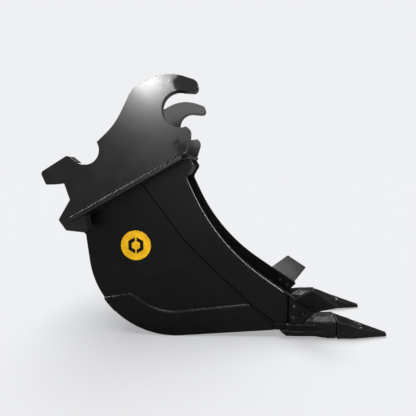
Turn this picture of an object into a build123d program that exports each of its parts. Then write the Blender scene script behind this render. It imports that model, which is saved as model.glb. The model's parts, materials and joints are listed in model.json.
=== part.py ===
from build123d import *
from math import cos, radians, sin, tan
import os

# Narrow trenching bucket for an excavator, hung from two hooked ears. Millimetres.
# +X points to the teeth, +Z up, the plane Y = 0 halves the bucket, the heel stands on Z = 0.

# ears and the top plate that carries them
ear_outer = 240          # outer face of an ear from the middle plane
ear_thickness = 40
hook_x, hook_z, hook_radius = -161, 957, 70      # seat of the front hook
notch_x, notch_z, notch_radius = -539, 802, 58.5  # seat behind, open upwards
top_rear_x, top_rear_z = -603, 529
top_slope = 29.12        # degrees, rising to the front
top_length, top_thickness = 534, 15
wide_length, wide_half = 512, 248    # the part that reaches out under the ears
weld_length = 530        # how far up the slope an ear comes down

# shell
shell_half = 150         # outer face of a side plate from the middle plane
side_thickness = 12
wrapper_thickness = 12
back_lean = 6.7          # degrees from upright
floor_rise = 4.5         # degrees
heel_radius = 373
heel_corner = (-531.1, -26.97)   # where the lines of back and floor would meet
cladding = 8             # rim bands and heel plates

# cutting edge
lip_rear, lip_front, lip_low, lip_high, lip_half = 228, 440, 34, 64, 170
cutter_thickness = 20
cutter_wing = 14
wing_taper = 0.84        # length of the wing's outer edge against its root
left_rear_cut = 0.35     # the left wing is cut back behind
tooth_middle = 131       # middle of a tooth from the middle plane
tooth_half = 40
seam_x = 492             # rear face of a tooth point
tip_x = 715
pin_x, pin_z, pin_radius = 512, 42, 9
running_gap = 0.05       # radial, round the tooth pins
nose_gap = 0.6           # all round, between an adapter's nose and the socket on it
retainer_radius, retainer_room = 15, 0.5

# fasteners of the side cutters, M16
bolt_places = [(309, 140), (347, 110), (306, 92)]
shank_radius, head_radius, head_height, dome_radius = 8, 13, 9, 7
washer_radius, washer_height = 17, 3
nut_flats, nut_height = 24, 13
bolt_room = 0.5          # radial, round a shank

badge_x, badge_z, badge_radius, badge_film = -369, 398, 65, 1

ear_inner = ear_outer - ear_thickness
side_inner = shell_half - side_thickness
along = (cos(radians(top_slope)), sin(radians(top_slope)))      # up the top plate
upward = (-along[1], along[0])                                  # square to it


def on_top(distance, depth=0):
    """Point on the top plate: distance up its slope, depth under its upper face."""
    return (top_rear_x + along[0] * distance - upward[0] * depth,
            top_rear_z + along[1] * distance - upward[1] * depth)


def under_top(x):
    """Height of the top plate's lower face at x."""
    start = on_top(0, top_thickness)
    return start[1] + (x - start[0]) * tan(radians(top_slope))


def outline(corners):
    """Closed face in the side view from (x, z) or (x, z, corner radius)."""
    points = [(c[0], c[1]) for c in corners]
    radii = [c[2] if len(c) > 2 else 0 for c in corners]
    return make_face(FilletPolyline(*points, radius=radii, close=True))


def slab(face, near, far):
    """Side-view face made solid from Y = near to Y = far."""
    return extrude(Plane.XZ.offset(-far) * face, far - near)


def disc(x, z, radius, near, far):
    """Round bar from Y = near to Y = far."""
    return slab(Pos(x, z) * Circle(radius), near, far)


def pair(name, left):
    """Writes a left sub-part and its mirror image on the right."""
    save("left_" + name, left)
    save("right_" + name, mirror(left, about=Plane.XZ))


def save(name, shape):
    solids = shape.solids()
    export_step(solids[0] if len(solids) == 1 else Compound(children=solids), f"parts/{name}.step")


# ---- ears and what ties them ----

def ear():
    plate = [
        (-718.5, 713, 16), (-607, 781, 14), (-566, 748), (-539, 790), (-483, 837, 4),
        (-415, 900, 290), (-345, 1036, 80), (-211, 1104, 180), (-87, 1063, 28),
        (-90, 1021, 18), (hook_x, hook_z + hook_radius - 1),
        (hook_x, 892), (-118, 892, 26), (-120, 850, 22),
        on_top(weld_length), on_top(0), on_top(0, top_thickness),
        (-548, under_top(-548)), (-538, 471, 4), (-622, 480, 8), (-652, 523, 8), (-603, 604, 5),
        (-625, 672, 6), (-655, 665, 20), (-697, 664, 8),
    ]
    face = outline(plate)
    face -= Pos(hook_x, hook_z) * Circle(hook_radius)
    face -= Pos(notch_x, notch_z) * Circle(notch_radius)
    return slab(face, -ear_outer, -ear_inner)


def top_plate():
    """Sloping plate, narrower at its front end, where only the shell hangs from it."""
    def strip_of(start, end, half):
        return slab(outline([on_top(start), on_top(end), on_top(end, top_thickness),
                             on_top(start, top_thickness)]), -half, half)
    narrow_half = shell_half + cladding
    return strip_of(0, wide_length, wide_half) + strip_of(wide_length, top_length, narrow_half)


def strip(points, thickness, bend):
    """Side-view face of a bent plate that follows points, its thickness on the right-hand side."""
    line = FilletPolyline(*points, radius=bend)
    return make_face(offset(line, thickness, side=Side.RIGHT, closed=True).edges())


def rear_cross_plate():
    return slab(strip([(-607, 588), (-644, 524), (-617, 485), (-592, 481)], -14, 18),
                -ear_inner, ear_inner)


def front_cross_plate():
    x_rear, x_front, z_top = -215, -200, 850
    foot_rear, foot_front = [under_top(x) + top_thickness / cos(radians(top_slope))
                             for x in (x_rear, x_front)]
    return slab(outline([(x_rear, foot_rear), (x_rear, z_top), (x_front, z_top),
                         (x_front, foot_front)]), -ear_inner, ear_inner)


def cross_tube():
    tube_x, tube_z, outside, wall = -330, 850, 57, 10
    return (disc(tube_x, tube_z, outside, -ear_inner, ear_inner)
            - disc(tube_x, tube_z, outside - wall, -ear_inner, ear_inner))


# ---- shell ----

back_top = on_top(0, top_thickness)
floor_front = (lip_rear, heel_corner[1] + (lip_rear - heel_corner[0]) * tan(radians(floor_rise)))
rim = [(-134, under_top(-134)), (-117, 746, 18), (-148, 692, 22), (-12, 400, 900)]


def side_face():
    return outline([back_top] + rim + [(394, 120), (337, lip_high), (lip_rear, lip_high),
                                       floor_front, heel_corner + (heel_radius,)])


def inset_face():
    """Room inside the wrapper, open to the mouth."""
    lean, rise, t = radians(back_lean), radians(floor_rise), wrapper_thickness
    corner_x = heel_corner[0] + t * (cos(rise) + sin(lean)) / cos(rise + lean)
    corner_z = heel_corner[1] + t * (cos(lean) + sin(rise)) / cos(rise + lean)
    reach = 1200
    return outline([(corner_x - reach * sin(lean), corner_z + reach * cos(lean)),
                    (corner_x, corner_z, heel_radius - t),
                    (corner_x + reach * cos(rise), corner_z + reach * sin(rise)),
                    (reach, reach)])


def wrapper_sheet():
    return slab(side_face() - inset_face(), -side_inner, side_inner)


def bolt_holes(near, far):
    return [disc(x, z, shank_radius + bolt_room, near, far) for x, z in bolt_places]


def side_plate():
    return slab(side_face(), -shell_half, -side_inner) - bolt_holes(-shell_half, -side_inner)


def rim_band():
    crease = [(236, lip_high), (125, 148, 700), (-151, 411, 1000), (-334, under_top(-334))]
    rim_at_cutter = 189
    face = outline(rim + [(286, rim_at_cutter), (286, lip_high)] + crease)
    return slab(face, -shell_half - cladding, -shell_half)


def heel_plate():
    above = outline([(-640, 141), (-395, 181, 15), (-263, 96, 220), (117, 141, 8), (228, 38),
                     (228, -80), (-640, -80)])
    return slab(side_face() & above, -shell_half - cladding, -shell_half)


def mouth_header():
    """Bent plate that closes the shell between the top plate and the hollow of the rim."""
    line = [(-145, under_top(-145)), (-129, 744), (-159, 692), (-175, 700)]
    return slab(strip(line, 10, 14), -side_inner, side_inner)


# ---- cutting edge ----

def lip_plate():
    """Cutting edge: flush with the rim bands behind lip_ear, standing out past them in front of it."""
    blade = slab(outline([(lip_rear, lip_low), (lip_rear, lip_high), (400, lip_high), (lip_front, 47),
                          (lip_front, lip_low)]), -lip_half, lip_half)
    lip_ear, band_face, room = 276, shell_half + cladding, 5
    behind = outline([(lip_rear - room, lip_low - room), (lip_rear - room, lip_high + room),
                      (lip_ear, lip_high + room), (lip_ear, lip_low - room)])
    return blade - slab(behind, -lip_half - room, -band_face) - slab(behind, band_face, lip_half + room)


def side_cutter(rear_cut=0.0):
    """Base bolted flat on the side, and a wing that leans out from it along the rim.

    rear_cut is the share of the wing's root cut away behind."""
    outer = shell_half + cutter_thickness
    base = slab(outline([(289, lip_high + 2), (289, 191), (272, 204), (392, 124), (395, 121),
                         (340, lip_high + 2)]), -outer, -shell_half)
    start, down_rim, flare = Vector(272, -outer + 12, 204), Vector(120, 0, -80), Vector(98, -66, 43)
    wing = make_face(Polyline(start + down_rim * rear_cut, start + down_rim,
                              start + flare + down_rim * wing_taper, start + flare, close=True))
    plate = extrude(wing, cutter_wing, dir=down_rim.cross(flare).normalized())
    holes = [disc(x, z, shank_radius, -outer, -shell_half) for x, z in bolt_places]
    return base + plate - holes


def stack(radius, height, start):
    """One disc at each bolt of the left cutter, growing outwards from Y = -start."""
    return [disc(x, z, radius, -start - height, -start) for x, z in bolt_places]


def cutter_bolts():
    outer = shell_half + cutter_thickness + washer_height
    thread_end = -side_inner + nut_height + 5
    bolts = []
    for (x, z), head in zip(bolt_places, stack(head_radius, head_height, outer)):
        dome = fillet(head.edges().sort_by(Axis.Y)[0], dome_radius)
        bolts.append(dome + disc(x, z, shank_radius, -outer, thread_end))
    return Compound(children=bolts)


def cutter_washers():
    outer = shell_half + cutter_thickness
    rings = stack(washer_radius, washer_height, outer)
    return Compound(children=[ring - disc(x, z, shank_radius, -outer - washer_height, -outer)
                              for ring, (x, z) in zip(rings, bolt_places)])


def cutter_nuts():
    hexagon = RegularPolygon(nut_flats / 2, 6, major_radius=False)
    return Compound(children=[slab(Pos(x, z) * (hexagon - Circle(shank_radius)),
                                   -side_inner, -side_inner + nut_height) for x, z in bolt_places])


def wedge(sections):
    """Ruled solid through sections (x, half width, low z, high z at the sides, high z in the middle)."""
    faces = []
    for x, half, low, side, middle in sections:
        ridge = [(0, middle)] if middle > side else []
        points = [(-half, low), (half, low), (half, side), *ridge, (-half, side)]
        ring = Polyline(*[(x, -tooth_middle + y, z) for y, z in points], close=True)
        faces.append(make_face(ring))
    return loft(faces, ruled=True)


def nose(growth=0):
    """Tapered end of an adapter that a tooth point slides on, larger all round by growth."""
    return wedge([(seam_x - 6, 31 + growth, 20 - growth, 70 + growth, 0),
                  (566 + growth, 21 + growth, 21 - growth, 41 + growth, 0)])


def cross_hole(radius):
    return disc(pin_x, pin_z, radius, -tooth_middle - 60, -tooth_middle + 60)


def adapter():
    body = slab(outline([(252, lip_low), (279, 14, 6), (406, 14, 30), (452, 7, 30), (488, 7), (489, 72),
                         (486, 102), (478, 105, 4), (449, 99, 20), (414, 100, 12), (365, 84, 8),
                         (345, lip_high)]),
                -tooth_middle - tooth_half, -tooth_middle + tooth_half)
    roof = (tooth_half, 0, 80, 107)
    body &= wedge([(lip_rear, *roof), (tip_x, *roof)])
    return body - lip_plate() + nose() - cross_hole(pin_radius + running_gap) - retainer_seat()


def tooth_point():
    body = wedge([(seam_x, 42, 7, 80, 100), (572, 39, 7, 57, 68), (tip_x, 12, 5, 13, 19)])
    return body - nose(nose_gap) - cross_hole(pin_radius + running_gap)


def retainer_seat():
    return disc(pin_x, pin_z, retainer_radius + retainer_room, -tooth_middle - 40, -tooth_middle - 18)


def pin_retainer():
    ring = disc(pin_x, pin_z, retainer_radius, -tooth_middle - 26, -tooth_middle - 18)
    return ring - cross_hole(pin_radius + running_gap)


def tooth_pin():
    return disc(pin_x, pin_z, pin_radius, -tooth_middle - 39, -tooth_middle + 39)


def badge():
    return disc(badge_x, badge_z, badge_radius, -shell_half - badge_film, -shell_half)


os.makedirs("parts", exist_ok=True)
for name, shape in [("top_plate", top_plate()), ("rear_cross_plate", rear_cross_plate()),
                    ("front_cross_plate", front_cross_plate()), ("cross_tube", cross_tube()),
                    ("wrapper_sheet", wrapper_sheet()), ("mouth_header", mouth_header()),
                    ("lip_plate", lip_plate())]:
    save(name, shape)
for name, left in [("ear", ear()), ("side_plate", side_plate()), ("rim_band", rim_band()),
                   ("heel_plate", heel_plate()),
                   ("cutter_bolts", cutter_bolts()), ("cutter_washers", cutter_washers()),
                   ("cutter_nuts", cutter_nuts()), ("adapter", adapter()),
                   ("tooth_point", tooth_point()), ("tooth_pin", tooth_pin()),
                   ("pin_retainer", pin_retainer()), ("badge", badge())]:
    pair(name, left)
save("left_side_cutter", side_cutter(left_rear_cut))
save("right_side_cutter", mirror(side_cutter(), about=Plane.XZ))
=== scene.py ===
import json
import math
from random import Random

import bpy
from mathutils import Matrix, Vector

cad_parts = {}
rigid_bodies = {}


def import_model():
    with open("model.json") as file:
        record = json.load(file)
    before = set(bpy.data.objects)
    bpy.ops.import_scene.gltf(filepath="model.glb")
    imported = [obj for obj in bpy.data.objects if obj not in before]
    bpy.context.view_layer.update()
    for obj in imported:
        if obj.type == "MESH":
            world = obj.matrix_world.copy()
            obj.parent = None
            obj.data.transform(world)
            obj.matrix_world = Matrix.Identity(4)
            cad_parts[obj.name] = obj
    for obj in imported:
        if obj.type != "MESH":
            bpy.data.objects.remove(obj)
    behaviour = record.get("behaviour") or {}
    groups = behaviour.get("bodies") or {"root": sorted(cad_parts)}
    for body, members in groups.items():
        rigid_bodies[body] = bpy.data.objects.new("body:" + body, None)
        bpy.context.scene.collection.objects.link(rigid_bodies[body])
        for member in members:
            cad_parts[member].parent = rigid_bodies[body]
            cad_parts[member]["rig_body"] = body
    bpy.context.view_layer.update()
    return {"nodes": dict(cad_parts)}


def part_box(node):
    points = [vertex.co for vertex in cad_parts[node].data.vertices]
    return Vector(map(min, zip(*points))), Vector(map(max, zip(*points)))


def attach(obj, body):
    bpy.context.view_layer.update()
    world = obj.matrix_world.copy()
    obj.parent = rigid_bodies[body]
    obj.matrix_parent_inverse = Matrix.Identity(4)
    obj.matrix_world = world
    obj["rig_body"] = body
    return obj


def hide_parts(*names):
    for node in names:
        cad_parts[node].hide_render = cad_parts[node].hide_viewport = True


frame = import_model()
nodes = frame["nodes"]


# camera, lights and floor
view = {"place": (0.0131, -1.340, 0.7185), "pitch": 3.753, "turn": 1.723, "lens": 24.40,
        "shift": (-0.01923, -0.04447)}
bpy.ops.object.camera_add(location=view["place"],
                          rotation=(math.radians(90 - view["pitch"]), 0, math.radians(view["turn"])))
camera = bpy.context.object
camera.data.lens = view["lens"]
camera.data.shift_x, camera.data.shift_y = view["shift"]
camera.data.clip_end = 200
bpy.context.scene.camera = camera
bpy.context.scene.view_settings.view_transform = "Standard"


def pick(*pieces):                      # these are selected and nothing else is
    if bpy.context.mode != "OBJECT":
        bpy.ops.object.mode_set(mode="OBJECT")
    bpy.ops.object.select_all(action="DESELECT")
    for piece in pieces:
        piece.select_set(True)
    bpy.context.view_layer.objects.active = pieces[-1]


def softbox(name, place, aim, size, power, lights):
    bpy.ops.object.light_add(type="AREA", location=place)
    lamp = bpy.context.object
    lamp.name = name
    lamp.data.shape = "RECTANGLE"
    lamp.data.size, lamp.data.size_y = size
    lamp.data.energy = power
    lamp.rotation_euler = (Vector(aim) - Vector(place)).to_track_quat("-Z", "Y").to_euler()
    lamp.light_linking.receiver_collection = lights


def receivers(name):                    # what a softbox lights, filled as the pieces are made
    return bpy.data.collections.new(name)


notOnPaper = receivers("notOnPaper")    # all but the floor, which is left to the dome
onFront, onFarEar = receivers("onFront"), receivers("onFarEar")    # onFront: near ear, top plate, castings
onBeads, onRims, onBadges = receivers("onBeads"), receivers("onRims"), receivers("onBadges")

paper = (0.863, 0.871, 0.888, 1)        # floor and wall, as the camera sees them
darkRoom = (0.085, 0.085, 0.088, 1)     # what the paint mirrors where no softbox stands

softboxes = {
    "frontLeftBox": {"place": (-0.94, -2.65, 1.86), "aim": (-0.27, -0.24, 1.05), "size": (0.28, 0.24),
                     "power": 26, "lights": onFront},
    "farEarBox": {"place": (-0.46, -2.26, 1.34), "aim": (-0.12, 0.20, 0.96), "size": (0.9, 0.9),
                  "power": 9, "lights": onFarEar},
    "rightBox": {"place": (1.84, -1.03, 1.32), "aim": (0.42, 0.19, 0.21), "size": (0.24, 0.24),
                 "power": 8, "lights": notOnPaper},
    "wideBox": {"place": (0.4, -3.2, 1.1), "aim": (-0.1, -0.15, 0.4), "size": (3.4, 2.6),
                "power": 12, "lights": notOnPaper},
    "overheadBox": {"place": (0.1, 0.3, 3.2), "aim": (0, 0, 0.4), "size": (1.3, 0.6),
                    "power": 44, "lights": notOnPaper},
    "rearBox": {"place": (-2.2, 2.6, 2.2), "aim": (0, 0, 0.5), "size": (1.6, 1.2),
                "power": 20, "lights": notOnPaper},
    "rimStrip": {"place": (2.34, 0.23, 1.5), "aim": (0, -0.158, 0.4), "size": (0.9, 0.9),
                 "power": 90, "lights": onRims},
    "leftBox": {"place": (-2.25, 0.03, 2.3), "aim": (-0.4, -0.24, 0.65), "size": (1.2, 1.2),
                "power": 110, "lights": onBeads},
    "lowBeadBox": {"place": (0.1, -1.0, 2.6), "aim": (0.1, -0.16, 0.1), "size": (1.0, 1.0),
                   "power": 20, "lights": onBeads},
    "badgeBox": {"place": (-0.6, -2.4, 0.9), "aim": (-0.35, -0.17, 0.5), "size": (0.6, 0.6),
                 "power": 30, "lights": onBadges},
}
for name, box in softboxes.items():
    softbox(name, **box)

domeLook = {"height": 4, "energy": 1.9, "spread": 58, "lean": (-2, -3)}
bpy.ops.object.light_add(type="SUN", location=(0, 0, domeLook["height"]))
dome = bpy.context.object
dome.name = "domeSun"
dome.data.energy = domeLook["energy"]
dome.data.angle = math.radians(domeLook["spread"])
dome.rotation_euler = [math.radians(angle) for angle in domeLook["lean"] + (0,)]

room = bpy.data.worlds.new("paperRoom")
room.use_nodes = True
bpy.context.scene.world = room
tree = room.node_tree
tree.nodes.clear()
worldOut = tree.nodes.new("ShaderNodeOutputWorld")
worldMix = tree.nodes.new("ShaderNodeMixShader")
seen = tree.nodes.new("ShaderNodeLightPath")
wallShade = tree.nodes.new("ShaderNodeBackground")
darkShade = tree.nodes.new("ShaderNodeBackground")
wallShade.inputs["Color"].default_value = paper
darkShade.inputs["Color"].default_value = darkRoom
tree.links.new(seen.outputs["Is Camera Ray"], worldMix.inputs[0])
tree.links.new(darkShade.outputs[0], worldMix.inputs[1])
tree.links.new(wallShade.outputs[0], worldMix.inputs[2])
tree.links.new(worldMix.outputs[0], worldOut.inputs[0])

floorLook = {"size": 60, "glow": 0.455, "albedo": 0.80, "drop": 0.0005,
             "mirrored": (0.26, 0.26, 0.264, 1)}
bpy.ops.object.select_all(action="DESELECT")
bpy.ops.mesh.primitive_plane_add(size=floorLook["size"], location=(0, 0, -floorLook["drop"]))
floor = bpy.context.object
floor.name = "studioFloor"
floorPaint = bpy.data.materials.new("floorPaper")
floorPaint.use_nodes = True
tree = floorPaint.node_tree
tree.nodes.clear()
floorOut = tree.nodes.new("ShaderNodeOutputMaterial")
floorMix = tree.nodes.new("ShaderNodeMixShader")
floorSum = tree.nodes.new("ShaderNodeAddShader")
floorGlow = tree.nodes.new("ShaderNodeEmission")
floorSkin = tree.nodes.new("ShaderNodeBsdfDiffuse")
floorDark = tree.nodes.new("ShaderNodeBsdfDiffuse")
floorSeen = tree.nodes.new("ShaderNodeLightPath")
floorGlow.inputs["Color"].default_value = paper
floorGlow.inputs["Strength"].default_value = floorLook["glow"]
floorSkin.inputs["Color"].default_value = tuple(floorLook["albedo"] * c for c in paper[:3]) + (1,)
floorDark.inputs["Color"].default_value = floorLook["mirrored"]
tree.links.new(floorGlow.outputs[0], floorSum.inputs[0])
tree.links.new(floorSkin.outputs[0], floorSum.inputs[1])
tree.links.new(floorSeen.outputs["Is Camera Ray"], floorMix.inputs[0])
tree.links.new(floorDark.outputs[0], floorMix.inputs[1])
tree.links.new(floorSum.outputs[0], floorMix.inputs[2])
tree.links.new(floorMix.outputs[0], floorOut.inputs[0])
floor.data.materials.append(floorPaint)
notOnPaper.objects.link(floor)
notOnPaper.collection_objects[0].light_linking.link_state = "EXCLUDE"
print("studio ready")


# finishes
def newGroup(name, inputs, outputs):
    group = bpy.data.node_groups.new(name, "ShaderNodeTree")
    for label, kind, value in inputs:
        socket = group.interface.new_socket(name=label, in_out="INPUT", socket_type=kind)
        if value is not None:
            socket.default_value = value
    for label, kind in outputs:
        group.interface.new_socket(name=label, in_out="OUTPUT", socket_type=kind)
    return group, group.nodes.new("NodeGroupInput"), group.nodes.new("NodeGroupOutput")


def mathNode(tree, operation, first, second=None, clamp=False):
    node = tree.nodes.new("ShaderNodeMath")
    node.operation = operation
    node.use_clamp = clamp
    for socket, value in zip(node.inputs, (first, second)):
        if value is None:
            continue
        if isinstance(value, (int, float)):
            socket.default_value = value
        else:
            tree.links.new(value, socket)
    return node.outputs[0]


def noiseNode(tree, vector, scale, detail=3, roughness=0.55, distortion=0):
    node = tree.nodes.new("ShaderNodeTexNoise")
    tree.links.new(vector, node.inputs["Vector"])
    if isinstance(scale, (int, float)):
        node.inputs["Scale"].default_value = scale
    else:
        tree.links.new(scale, node.inputs["Scale"])
    node.inputs["Detail"].default_value = detail
    node.inputs["Roughness"].default_value = roughness
    node.inputs["Distortion"].default_value = distortion
    return node.outputs["Fac"]


def rampNode(tree, value, low, high):       # 0 under low, 1 over high
    node = tree.nodes.new("ShaderNodeMapRange")
    node.interpolation_type = "SMOOTHSTEP"
    tree.links.new(value, node.inputs["Value"])
    node.inputs["From Min"].default_value = low
    node.inputs["From Max"].default_value = high
    return node.outputs["Result"]


def stretchNode(tree, vector, turn, scale):
    node = tree.nodes.new("ShaderNodeMapping")
    tree.links.new(vector, node.inputs["Vector"])
    node.inputs["Rotation"].default_value = [math.radians(a) for a in turn]
    node.inputs["Scale"].default_value = scale
    return node.outputs["Vector"]


grainLook = {"gritScale": 1400, "waveScale": 9, "waves": 1.2, "patchScale": 16}


def buildGrain():                           # sprayed enamel: slow waves, orange peel and fine grit
    group, start, end = newGroup("enamelGrain", [("Vector", "NodeSocketVector", None),
                                                 ("Peel Scale", "NodeSocketFloat", 220.0),
                                                 ("Grit", "NodeSocketFloat", 0.4)],
                                 [("Height", "NodeSocketFloat"), ("Patches", "NodeSocketFloat")])
    place = start.outputs["Vector"]
    peel = noiseNode(group, place, start.outputs["Peel Scale"], 2, 0.5)
    grit = noiseNode(group, place, grainLook["gritScale"], 2, 0.6)
    waves = noiseNode(group, place, grainLook["waveScale"], 3, 0.5)
    height = mathNode(group, "ADD", peel, mathNode(group, "MULTIPLY", grit, start.outputs["Grit"]))
    height = mathNode(group, "ADD", height, mathNode(group, "MULTIPLY", waves, grainLook["waves"]))
    group.links.new(height, end.inputs["Height"])
    patches = noiseNode(group, place, grainLook["patchScale"], 5, 0.62, 0.3)
    group.links.new(rampNode(group, patches, 0.35, 0.68), end.inputs["Patches"])
    return group


def buildEdgeWear():                        # paint rubbed thin where an edge turns
    group, start, end = newGroup("edgeRub", [("Vector", "NodeSocketVector", None),
                                             ("Radius", "NodeSocketFloat", 0.003),
                                             ("Break Up", "NodeSocketFloat", 60.0)],
                                 [("Mask", "NodeSocketFloat")])
    rounded = group.nodes.new("ShaderNodeBevel")
    rounded.samples = 6
    group.links.new(start.outputs["Radius"], rounded.inputs["Radius"])
    surface = group.nodes.new("ShaderNodeNewGeometry")
    product = group.nodes.new("ShaderNodeVectorMath")
    product.operation = "DOT_PRODUCT"
    group.links.new(rounded.outputs["Normal"], product.inputs[0])
    group.links.new(surface.outputs["True Normal"], product.inputs[1])
    bend = mathNode(group, "SUBTRACT", 1.0, product.outputs["Value"])
    breakUp = noiseNode(group, start.outputs["Vector"], start.outputs["Break Up"], 4, 0.65)
    mask = mathNode(group, "MULTIPLY", rampNode(group, bend, 0.01, 0.10),
                    rampNode(group, breakUp, 0.42, 0.66), clamp=True)
    group.links.new(mask, end.inputs["Mask"])
    return group


def buildScratches():                       # fine scuffs in two directions, gathered in patches
    group, start, end = newGroup("fineScuffs", [("Vector", "NodeSocketVector", None),
                                                ("Amount", "NodeSocketFloat", 0.5)],
                                 [("Mask", "NodeSocketFloat")])
    total = None
    for turn, scale in (((0, 28, 0), (6, 60, 420)), ((0, -52, 0), (9, 60, 520))):
        streak = noiseNode(group, stretchNode(group, start.outputs["Vector"], turn, scale), 1, 2, 0.5)
        line = rampNode(group, streak, 0.66, 0.74)
        total = line if total is None else mathNode(group, "MAXIMUM", total, line)
    patch = rampNode(group, noiseNode(group, start.outputs["Vector"], 14, 3, 0.5), 0.45, 0.7)
    mask = mathNode(group, "MULTIPLY", mathNode(group, "MULTIPLY", total, patch),
                    start.outputs["Amount"], clamp=True)
    group.links.new(mask, end.inputs["Mask"])
    return group


grainGroup, wearGroup, scuffGroup = buildGrain(), buildEdgeWear(), buildScratches()


def placed(tree, group, **values):
    node = tree.nodes.new("ShaderNodeGroup")
    node.node_tree = group
    for label, value in values.items():
        node.inputs[label.replace("_", " ")].default_value = value
    return node


def mixColour(tree, mask, first, second):
    node = tree.nodes.new("ShaderNodeMix")
    node.data_type = "RGBA"
    tree.links.new(mask, node.inputs["Factor"])
    for socket, value in ((node.inputs["A"], first), (node.inputs["B"], second)):
        if isinstance(value, tuple):
            socket.default_value = value + (1,)
        else:
            tree.links.new(value, socket)
    return node.outputs["Result"]


rubbedSpots = {"wobble": 0.09, "wobbleScale": 26,       # place, fully smooth within, paint as sprayed beyond
               "spots": (((-0.115, -0.24, 1.05), 0.055, 0.10), ((-0.160, -0.24, 0.806), 0.014, 0.036))}


def hookMask(tree, vector):                 # 1 where a coupler has rubbed the left ear smooth
    wobble = mathNode(tree, "SUBTRACT", noiseNode(tree, vector, rubbedSpots["wobbleScale"], 4, 0.6), 0.5)
    total = None
    for spot, inner, outer in rubbedSpots["spots"]:
        away = tree.nodes.new("ShaderNodeVectorMath")
        away.operation = "DISTANCE"
        tree.links.new(vector, away.inputs[0])
        away.inputs[1].default_value = spot
        reach = mathNode(tree, "ADD", away.outputs["Value"],
                         mathNode(tree, "MULTIPLY", wobble, rubbedSpots["wobble"]))
        rubbed = mathNode(tree, "SUBTRACT", 1.0, rampNode(tree, reach, inner, outer))
        total = rubbed if total is None else mathNode(tree, "MAXIMUM", total, rubbed)
    return total


enamelLook = {"patchLift": 1.5, "rubbedGloss": 0.25, "lineMatt": 0.15, "quietLines": 0.45, "relief": 0.001,
              "coatRough": 0.20}


def enamel(name, dark, worn, rough, spread, peel=220.0, bump=0.05, grit=0.4, rub=0.003, scuffs=0.4,
           coat=0.0, hook=False, specular=0.5):
    material = bpy.data.materials.new(name)
    material.use_nodes = True
    tree = material.node_tree
    shader = tree.nodes["Principled BSDF"]
    place = tree.nodes.new("ShaderNodeTexCoord").outputs["Object"]
    grain = placed(tree, grainGroup, Peel_Scale=peel, Grit=grit)
    wear = placed(tree, wearGroup, Radius=rub)
    scratch = placed(tree, scuffGroup, Amount=scuffs)
    for node in (grain, wear, scratch):
        tree.links.new(place, node.inputs["Vector"])
    rubbed = wear.outputs["Mask"]
    lines = scratch.outputs["Mask"]
    if hook:
        smooth = hookMask(tree, place)
        lines = mathNode(tree, "MULTIPLY", lines, mathNode(tree, "ADD", smooth, enamelLook["quietLines"]),
                         clamp=True)
    lighter = tuple(c * enamelLook["patchLift"] for c in dark)
    colour = mixColour(tree, grain.outputs["Patches"], dark, lighter)
    colour = mixColour(tree, mathNode(tree, "MAXIMUM", rubbed, lines), colour, worn)
    tree.links.new(colour, shader.inputs["Base Color"])
    roughness = mathNode(tree, "ADD", mathNode(tree, "MULTIPLY", grain.outputs["Patches"], spread), rough)
    if hook:
        gloss = mathNode(tree, "MULTIPLY", smooth, enamelLook["rubbedGloss"])
        roughness = mathNode(tree, "SUBTRACT", roughness, gloss)
    matt = mathNode(tree, "MULTIPLY", lines, enamelLook["lineMatt"])
    roughness = mathNode(tree, "ADD", roughness, matt, clamp=True)
    tree.links.new(roughness, shader.inputs["Roughness"])
    relief = tree.nodes.new("ShaderNodeBump")
    relief.inputs["Strength"].default_value = bump
    relief.inputs["Distance"].default_value = enamelLook["relief"]
    tree.links.new(grain.outputs["Height"], relief.inputs["Height"])
    tree.links.new(relief.outputs["Normal"], shader.inputs["Normal"])
    shader.inputs["Specular IOR Level"].default_value = specular
    shader.inputs["Coat Weight"].default_value = coat
    if hook:                                # bare of clear coat where it is rubbed
        shine = mathNode(tree, "MULTIPLY", mathNode(tree, "SUBTRACT", 1.0, smooth), coat, clamp=True)
        tree.links.new(shine, shader.inputs["Coat Weight"])
    shader.inputs["Coat Roughness"].default_value = enamelLook["coatRough"]
    return material


earPaint = enamel("earPaint", (0.012, 0.012, 0.012), (0.10, 0.10, 0.105), 0.31, 0.03, coat=0.45, hook=True)
shellPaint = enamel("shellPaint", (0.007, 0.007, 0.0075), (0.05, 0.05, 0.052), 0.30, 0.08, scuffs=0.2)
weldPaint = enamel("weldPaint", (0.009, 0.009, 0.009), (0.08, 0.08, 0.08), 0.20, 0.08, rub=0.001, bump=0.1)
cutterPaint = enamel("cutterPaint", (0.009, 0.009, 0.0095), (0.09, 0.09, 0.095), 0.27, 0.06,
                     bump=0.14, grit=0.9)
fastenerPaint = enamel("fastenerPaint", (0.010, 0.010, 0.010), (0.12, 0.12, 0.12), 0.24, 0.1, rub=0.0015)
toothPaint = enamel("toothPaint", (0.008, 0.008, 0.008), (0.11, 0.11, 0.11), 0.20, 0.12, peel=160.0,
                    bump=0.22, grit=1.0, rub=0.004)
# near-black paint that barely reflects: painted shade for the dark crease along each rim band's rear edge
seamShadePaint = enamel("seamShadePaint", (0.0015, 0.0015, 0.0015), (0.01, 0.01, 0.01), 0.70, 0.1, rub=0.001,
                   scuffs=0.1, specular=0.12)
pinSteel = enamel("pinSteel", (0.05, 0.05, 0.052), (0.3, 0.3, 0.31), 0.32, 0.12, rub=0.0015)
pinSteel.node_tree.nodes["Principled BSDF"].inputs["Metallic"].default_value = 0.8
badgeYellow = enamel("badgeYellow", (0.80, 0.44, 0.003), (0.70, 0.36, 0.03), 0.45, 0.06, bump=0.03,
                     grit=0.6, rub=0.001, scuffs=0.15, specular=0.2)
badgeInk = enamel("badgeInk", (0.006, 0.006, 0.006), (0.05, 0.05, 0.05), 0.42, 0.06, rub=0.0005, scuffs=0.1)
print("finishes ready")


# plates, welded parts and fasteners, each rounded from its CAD piece
merging = {"distance": 0.00003, "beadDistance": 0.00002, "flat": 0.8}


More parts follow.
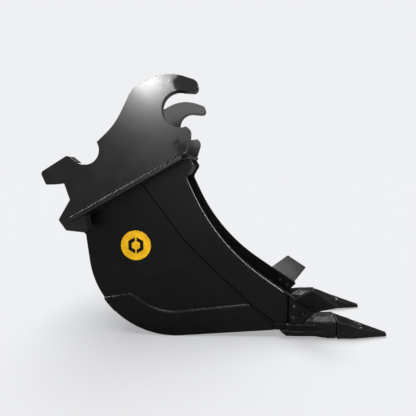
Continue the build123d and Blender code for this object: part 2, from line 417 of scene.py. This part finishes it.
def mergedCopy(nodeName, pieceName):        # a welded copy of a CAD piece with whole flat faces
    piece = bpy.data.objects.new(pieceName, nodes[nodeName].data.copy())
    bpy.context.scene.collection.objects.link(piece)
    pick(piece)
    bpy.ops.mesh.customdata_custom_splitnormals_clear()
    bpy.ops.object.mode_set(mode="EDIT")
    bpy.ops.mesh.select_all(action="SELECT")
    bpy.ops.mesh.remove_doubles(threshold=merging["distance"])
    bpy.ops.mesh.dissolve_limited(angle_limit=math.radians(merging["flat"]), use_dissolve_boundaries=False)
    bpy.ops.mesh.normals_make_consistent(inside=False)
    bpy.ops.object.mode_set(mode="OBJECT")
    return piece


def useModifier(piece, kind, **settings):
    pick(piece)
    bpy.ops.object.modifier_add(type=kind)
    modifier = piece.modifiers[-1]
    for label, value in settings.items():
        setattr(modifier, label, value)
    bpy.ops.object.modifier_apply(modifier=modifier.name)


def roundEdges(piece, width, segments=3, angle=28):
    useModifier(piece, "BEVEL", width=width, segments=segments, limit_method="ANGLE",
                angle_limit=math.radians(angle), miter_outer="MITER_ARC")


def smoothFaces(piece, angle=35):
    pick(piece)
    bpy.ops.object.shade_smooth_by_angle(angle=math.radians(angle))
    useModifier(piece, "WEIGHTED_NORMAL", keep_sharp=True)


def dress(piece, material, body="bucket"):
    piece.data.materials.clear()
    piece.data.materials.append(material)
    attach(piece, body)


plates = {
    "top_plate": (0.0030, earPaint), "rear_cross_plate": (0.0025, earPaint),
    "front_cross_plate": (0.0025, earPaint), "cross_tube": (0.0020, earPaint),
    "wrapper_sheet": (0.0020, shellPaint), "mouth_header": (0.0025, shellPaint),
    "lip_plate": (0.0025, shellPaint), "ear": (0.0030, earPaint), "side_plate": (0.0022, shellPaint),
    "rim_band": (0.0062, shellPaint), "heel_plate": (0.0024, shellPaint),
    "side_cutter": (0.0038, cutterPaint), "cutter_bolts": (0.0010, fastenerPaint),
    "cutter_washers": (0.0008, fastenerPaint), "cutter_nuts": (0.0012, fastenerPaint),
    "tooth_pin": (0.0012, pinSteel), "pin_retainer": (0.0008, fastenerPaint),
    "badge": (0.0003, badgeYellow),
}


def sidesOf(name):
    return [name] if name in nodes else ["left_" + name, "right_" + name]


for name, (width, material) in plates.items():
    for node in sidesOf(name):
        piece = mergedCopy(node, node + "_finished")
        roundEdges(piece, width)
        smoothFaces(piece)
        dress(piece, material, nodes[node]["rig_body"])
        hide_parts(node)
print("plates ready")


# castings: adapters and tooth points
panelFaces = {"up": 0.25, "lean": 0.1, "area": 0.0009, "widths": 1.8}    # which faces take a sunk panel
castings = {
    "adapter": {"edge": 0.0040, "angle": 24, "voxel": 0.0022, "panel": 0.006, "sink": 0.0045,
                "lump": 0.0024, "grit": 0.0006},
    "tooth_point": {"edge": 0.0034, "angle": 14, "voxel": 0.0020, "panel": 0.0055, "sink": 0.0045,
                    "lump": 0.0022, "grit": 0.0006},
}


def cloud(name, size):
    texture = bpy.data.textures.new(name, "CLOUDS")
    texture.noise_scale = size
    texture.noise_depth = 2
    return texture


lumpCloud, gritCloud = cloud("castLumps", 0.030), cloud("castGrit", 0.007)


def chooseFaces(piece, test):               # leaves edit mode on with those faces selected
    pick(piece)
    bpy.ops.object.mode_set(mode="EDIT")
    bpy.ops.mesh.select_mode(type="FACE")
    bpy.ops.mesh.select_all(action="DESELECT")
    bpy.ops.object.mode_set(mode="OBJECT")
    for face in piece.data.polygons:
        face.select = test(face)
    bpy.ops.object.mode_set(mode="EDIT")


def takesPanel(face, corners, border):       # leans, looks up and is wide enough for the border all round
    if face.normal.z <= panelFaces["up"] or abs(face.normal.y) <= panelFaces["lean"]:
        return False
    reach = max((corners[a] - corners[b]).length for a in face.vertices for b in face.vertices)
    return face.area > panelFaces["area"] and face.area / reach > panelFaces["widths"] * border


def castFrom(node, look):
    piece = mergedCopy(node, node + "_cast")
    corners = [corner.co.copy() for corner in piece.data.vertices]
    chooseFaces(piece, lambda face: takesPanel(face, corners, look["panel"]))
    bpy.ops.mesh.inset(thickness=look["panel"], depth=-look["sink"], use_individual=True,
                       use_even_offset=False)
    bpy.ops.object.mode_set(mode="OBJECT")
    roundEdges(piece, look["edge"], 3, look["angle"])
    useModifier(piece, "REMESH", mode="VOXEL", voxel_size=look["voxel"], use_smooth_shade=True)
    useModifier(piece, "DISPLACE", texture=lumpCloud, texture_coords="LOCAL", strength=look["lump"])
    useModifier(piece, "DISPLACE", texture=gritCloud, texture_coords="LOCAL", strength=look["grit"])
    pick(piece)
    bpy.ops.object.shade_smooth()
    dress(piece, toothPaint, nodes[node]["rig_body"])
    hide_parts(node)


for name, look in castings.items():
    for node in sidesOf(name):
        castFrom(node, look)
print("castings ready")


# weld beads, each laid along edges of a CAD piece
topPlate = {"rear": (-0.603, 0.529), "slope": math.radians(29.12), "thickness": 0.015}


def heightOverSlope(point, depth=0.0):      # square distance from the top plate's upper face
    dx, dz = point.x - topPlate["rear"][0], point.z - topPlate["rear"][1]
    return dz * math.cos(topPlate["slope"]) - dx * math.sin(topPlate["slope"]) + depth


ripple = {"pitch": 0.0055, "longest": 1.5, "valley": 0.88, "uneven": 0.07}      # along every weld bead


def beadAlong(nodeName, pieceName, wanted, size, seed, finish=None):
    piece = mergedCopy(nodeName, pieceName)
    bpy.ops.object.mode_set(mode="EDIT")
    bpy.ops.mesh.select_all(action="SELECT")
    bpy.ops.mesh.delete(type="ONLY_FACE")
    bpy.ops.mesh.select_mode(type="EDGE")
    bpy.ops.mesh.select_all(action="DESELECT")
    bpy.ops.object.mode_set(mode="OBJECT")
    points = [corner.co.copy() for corner in piece.data.vertices]
    for edge in piece.data.edges:
        edge.select = not all(wanted(points[i]) for i in edge.vertices)
    bpy.ops.object.mode_set(mode="EDIT")
    bpy.ops.mesh.delete(type="EDGE")
    bpy.ops.mesh.select_all(action="SELECT")
    bpy.ops.mesh.delete_loose(use_verts=True, use_edges=False, use_faces=False)
    for step in range(12):                  # halve what is longer than the ripple of the weld
        bpy.ops.mesh.select_all(action="DESELECT")
        bpy.ops.object.mode_set(mode="OBJECT")
        points = [corner.co.copy() for corner in piece.data.vertices]
        tooLong = False
        for edge in piece.data.edges:
            first, last = (points[i] for i in edge.vertices)
            edge.select = (first - last).length > ripple["pitch"] * ripple["longest"]
            tooLong = tooLong or edge.select
        bpy.ops.object.mode_set(mode="EDIT")
        if not tooLong:
            break
        bpy.ops.mesh.subdivide(number_cuts=1)
    bpy.ops.object.mode_set(mode="OBJECT")
    bpy.ops.object.convert(target="CURVE")
    piece = bpy.context.object
    draw = Random(seed)
    for spline in piece.data.splines:
        for index, point in enumerate(spline.points):
            crest = 1.0 if index % 2 else ripple["valley"]
            point.radius = crest + draw.uniform(-ripple["uneven"], ripple["uneven"])
    piece.data.bevel_depth = size
    piece.data.bevel_resolution = 2
    piece.data.use_fill_caps = True
    bpy.ops.object.convert(target="MESH")
    piece = bpy.context.object
    bpy.ops.object.mode_set(mode="EDIT")
    bpy.ops.mesh.select_all(action="SELECT")
    bpy.ops.mesh.remove_doubles(threshold=merging["beadDistance"])
    bpy.ops.mesh.normals_make_consistent(inside=False)
    bpy.ops.object.mode_set(mode="OBJECT")
    bpy.ops.object.shade_smooth()
    dress(piece, finish or weldPaint)
    if finish is None:
        onBeads.objects.link(piece)
    print("bead", pieceName, len(piece.data.vertices))


def near(value, target, room=0.0006):
    return abs(value - target) < room


def outerFace(node):                        # distance of a piece's outer face from the middle plane
    return abs(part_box(node)[0].y)


faces = {"shell": outerFace("left_side_plate"), "band": outerFace("left_rim_band"),
         "lip": outerFace("lip_plate")}
beadSizes = {"ear": 0.0076, "lobe": 0.0050, "neck": 0.0055, "band": 0.0055, "heel": 0.0056, "seam": 0.0042,
             "lip": 0.0066, "tube": 0.0050}
rimSeam = {"line": ((0.236, 0.064), (0.125, 0.148), (-0.151, 0.411), (-0.334, 0.70)), "width": 0.03,
           "over": 0.05, "front": 0.237}
lobe = {"x": (-0.5495, -0.5365), "z": (0.465, 0.56)}
heel = {"rear": -0.5335, "above": 0.0965}
lipBead = {"z": 0.064, "rear": 0.270}
tubeBead = {"x": -0.330, "z": 0.850, "radius": 0.057, "y": 0.2}


plateRoom = 0.001


def underPlate(point):                      # square distance from the top plate's lower face
    return heightOverSlope(point, topPlate["thickness"])


def onRimSeam(point):                       # on the rear edge of a rim band, not on the rim
    if point.x >= rimSeam["front"]:
        return False
    for (x1, z1), (x2, z2) in zip(rimSeam["line"], rimSeam["line"][1:]):
        dx, dz = x2 - x1, z2 - z1
        along = ((point.x - x1) * dx + (point.z - z1) * dz) / (dx * dx + dz * dz)
        aside = abs((point.x - x1) * dz - (point.z - z1) * dx) / math.hypot(dx, dz)
        if -rimSeam["over"] <= along <= 1 + rimSeam["over"] and aside < rimSeam["width"]:
            return True
    return False


def onLobe(point):
    return (lobe["x"][0] < point.x < lobe["x"][1] and lobe["z"][0] < point.z < lobe["z"][1]
            and underPlate(point) < plateRoom)


bothSides = (("left_", -1), ("right_", 1))
for side, sign in bothSides:
    beadAlong(side + "ear", side + "ear_weld", lambda p: near(heightOverSlope(p), 0),
              beadSizes["ear"], seed=3)
    beadAlong(side + "ear", side + "lobe_weld", onLobe, beadSizes["lobe"], seed=4)
    beadAlong(side + "side_plate", side + "neck_weld",
              lambda p: near(underPlate(p), 0) and near(abs(p.y), faces["shell"]), beadSizes["neck"], seed=5)
    beadAlong(side + "rim_band", side + "band_weld",
              lambda p: near(underPlate(p), 0) and near(abs(p.y), faces["band"]), beadSizes["band"], seed=6)
    beadAlong(side + "heel_plate", side + "heel_weld",
              lambda p: near(abs(p.y), faces["shell"]) and p.z > heel["above"] and p.x > heel["rear"],
              beadSizes["heel"], seed=7)
    # a real seam bead on the rim band's rear edge, in near-black matte paint that paints the crease's shade
    beadAlong(side + "rim_band", side + "seam_weld",
              lambda p: near(abs(p.y), faces["shell"]) and underPlate(p) < plateRoom and onRimSeam(p),
              beadSizes["seam"], seed=10, finish=seamShadePaint)
beadAlong("lip_plate", "lip_weld", lambda p: near(abs(p.y), faces["lip"]) and near(p.z, lipBead["z"])
          and p.x > lipBead["rear"], beadSizes["lip"], seed=8)
beadAlong("cross_tube", "tube_weld", lambda p: near(abs(p.y), tubeBead["y"])
          and near(math.hypot(p.x - tubeBead["x"], p.z - tubeBead["z"]), tubeBead["radius"]),
          beadSizes["tube"], seed=9)
print("welds ready")


# badge motif: a plain hexagon nut in two stencilled halves
motif = {"radius": 0.038, "band": 0.015, "gap": 0.0032, "film": 0.0004, "lift": 0.6, "edge": 0.0008}
for side, sign in bothSides:
    low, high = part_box(side + "badge")
    middle = (low + high) / 2
    face = low.y if sign < 0 else high.y
    lifted = face + sign * motif["film"] * motif["lift"]
    bpy.ops.object.select_all(action="DESELECT")
    bpy.ops.mesh.primitive_circle_add(vertices=6, radius=motif["radius"], fill_type="NGON",
                                      location=(middle.x, lifted, middle.z),
                                      rotation=(math.radians(90), 0, 0))
    nut = bpy.context.object
    nut.name = side + "badge_motif"
    bpy.ops.object.transform_apply(location=True, rotation=True, scale=True)
    bpy.ops.object.mode_set(mode="EDIT")
    bpy.ops.mesh.select_mode(type="FACE")
    bpy.ops.mesh.select_all(action="SELECT")
    bpy.ops.mesh.inset(thickness=motif["band"])
    bpy.ops.mesh.delete(type="FACE")
    for shift in (-motif["gap"], motif["gap"]):
        bpy.ops.mesh.select_all(action="SELECT")
        bpy.ops.mesh.bisect(plane_co=(middle.x + shift, face, middle.z), plane_no=(1, 0, 0))
    bpy.ops.object.mode_set(mode="OBJECT")
    chooseFaces(nut, lambda f: abs(f.center.x - middle.x) < motif["gap"])
    bpy.ops.mesh.delete(type="FACE")
    bpy.ops.object.mode_set(mode="OBJECT")
    useModifier(nut, "SOLIDIFY", thickness=motif["film"], offset=0)
    useModifier(nut, "BEVEL", width=motif["edge"], segments=2, limit_method="ANGLE", affect="EDGES")
    dress(nut, badgeInk)
    onBadges.objects.link(bpy.data.objects[side + "badge_finished"])
    onRims.objects.link(bpy.data.objects[side + "rim_band_finished"])

finished = bpy.data.objects                 # the pieces that the softboxes with a list of their own light
onRims.objects.link(finished["left_ear_finished"])
onFarEar.objects.link(finished["right_ear_finished"])
for name in ("left_ear_finished", "top_plate_finished", "left_adapter_cast", "right_adapter_cast",
             "left_tooth_point_cast", "right_tooth_point_cast"):
    onFront.objects.link(finished[name])
for name in ("cutter_bolts", "cutter_washers"):
    for side, sign in bothSides:
        onBeads.objects.link(finished[side + name + "_finished"])
print("badges ready")
